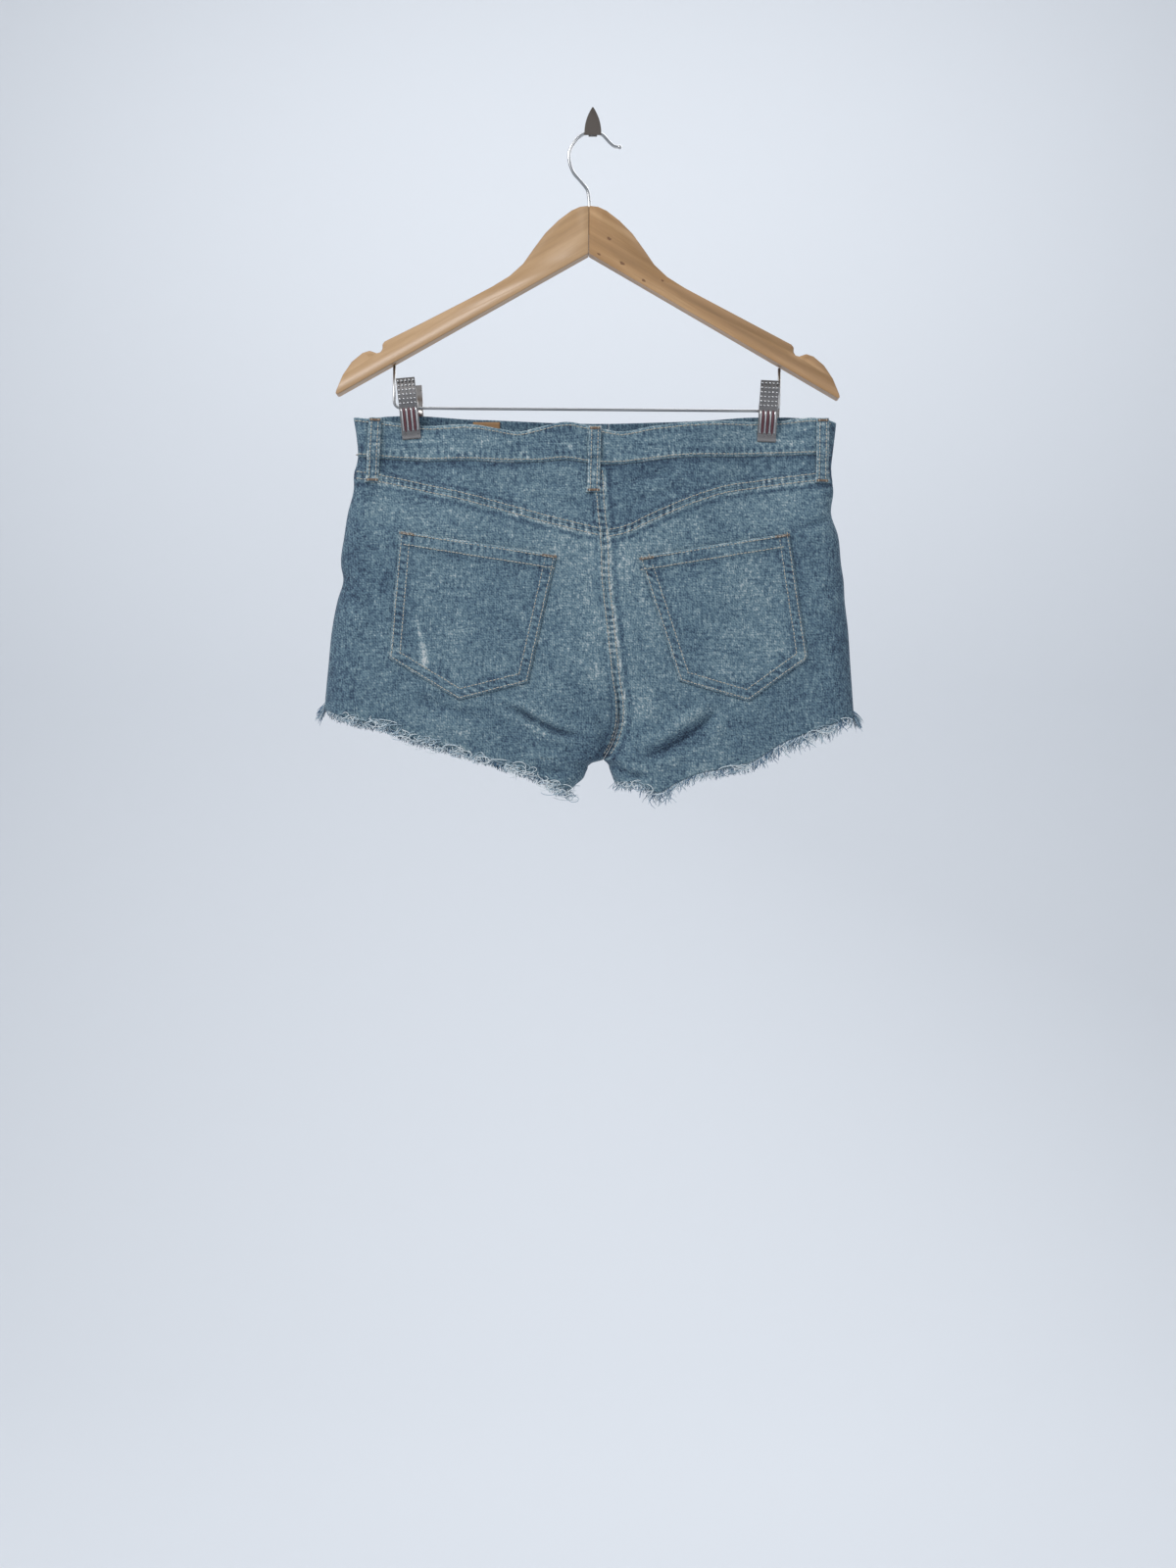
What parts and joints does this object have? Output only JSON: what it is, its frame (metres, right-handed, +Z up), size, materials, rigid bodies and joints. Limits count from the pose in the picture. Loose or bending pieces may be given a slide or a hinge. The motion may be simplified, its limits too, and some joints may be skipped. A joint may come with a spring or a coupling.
{
  "type": "denim cut-off shorts on a clip hanger and wall hook",
  "caption": "Frayed denim shorts, seen from behind, clipped by the waistband to a wooden trouser hanger that hangs in a small wall hook.",
  "frame": {"origin": "centre of the wall hook's mounting face, which lies against the wall", "axes": "+Y points into the wall, +Z up along the garment, +X to the wearer's right"},
  "size_m": [0.4716, 0.0645, 0.6288],
  "materials": {
    "denim": "washed blue twill, faded at seams and seat",
    "denim_trim": "washed blue twill, worn at the edges",
    "fray": "loose cotton threads",
    "zip": "dull metal",
    "button": "dull metal, bare",
    "wood": "pale beech, satin varnish",
    "steel": "bright plated wire and sheet",
    "hook_paint": "dark brown paint"
  },
  "bodies": {
    "root": {"yoke_left": "denim", "back_left": "denim", "front_left": "denim", "yoke_right": "denim", "back_right": "denim", "front_right": "denim", "waistband_back": "denim_trim", "waistband_front_left": "denim_trim", "waistband_front_right": "denim_trim", "front_pocket_facing_left": "denim", "front_pocket_facing_right": "denim", "back_pocket_left": "denim", "back_pocket_right": "denim", "belt_loop_back_left": "denim_trim", "belt_loop_back_centre": "denim_trim", "belt_loop_back_right": "denim_trim", "belt_loop_front_left": "denim_trim", "belt_loop_front_right": "denim_trim", "fly_zip": "zip", "fly_shield": "denim", "waist_button": "button", "fray_back_left": "fray", "fray_front_left": "fray", "fray_back_right": "fray", "fray_front_right": "fray", "hanger_arm_left": "wood", "hanger_arm_right": "wood", "hanger_hook": "steel", "hanger_bar": "steel", "clip_left_back_jaw": "steel", "clip_left_front_jaw": "steel", "clip_left_spring": "steel", "clip_right_back_jaw": "steel", "clip_right_front_jaw": "steel", "clip_right_spring": "steel", "wall_hook": "hook_paint"}
  },
  "joints": []
}
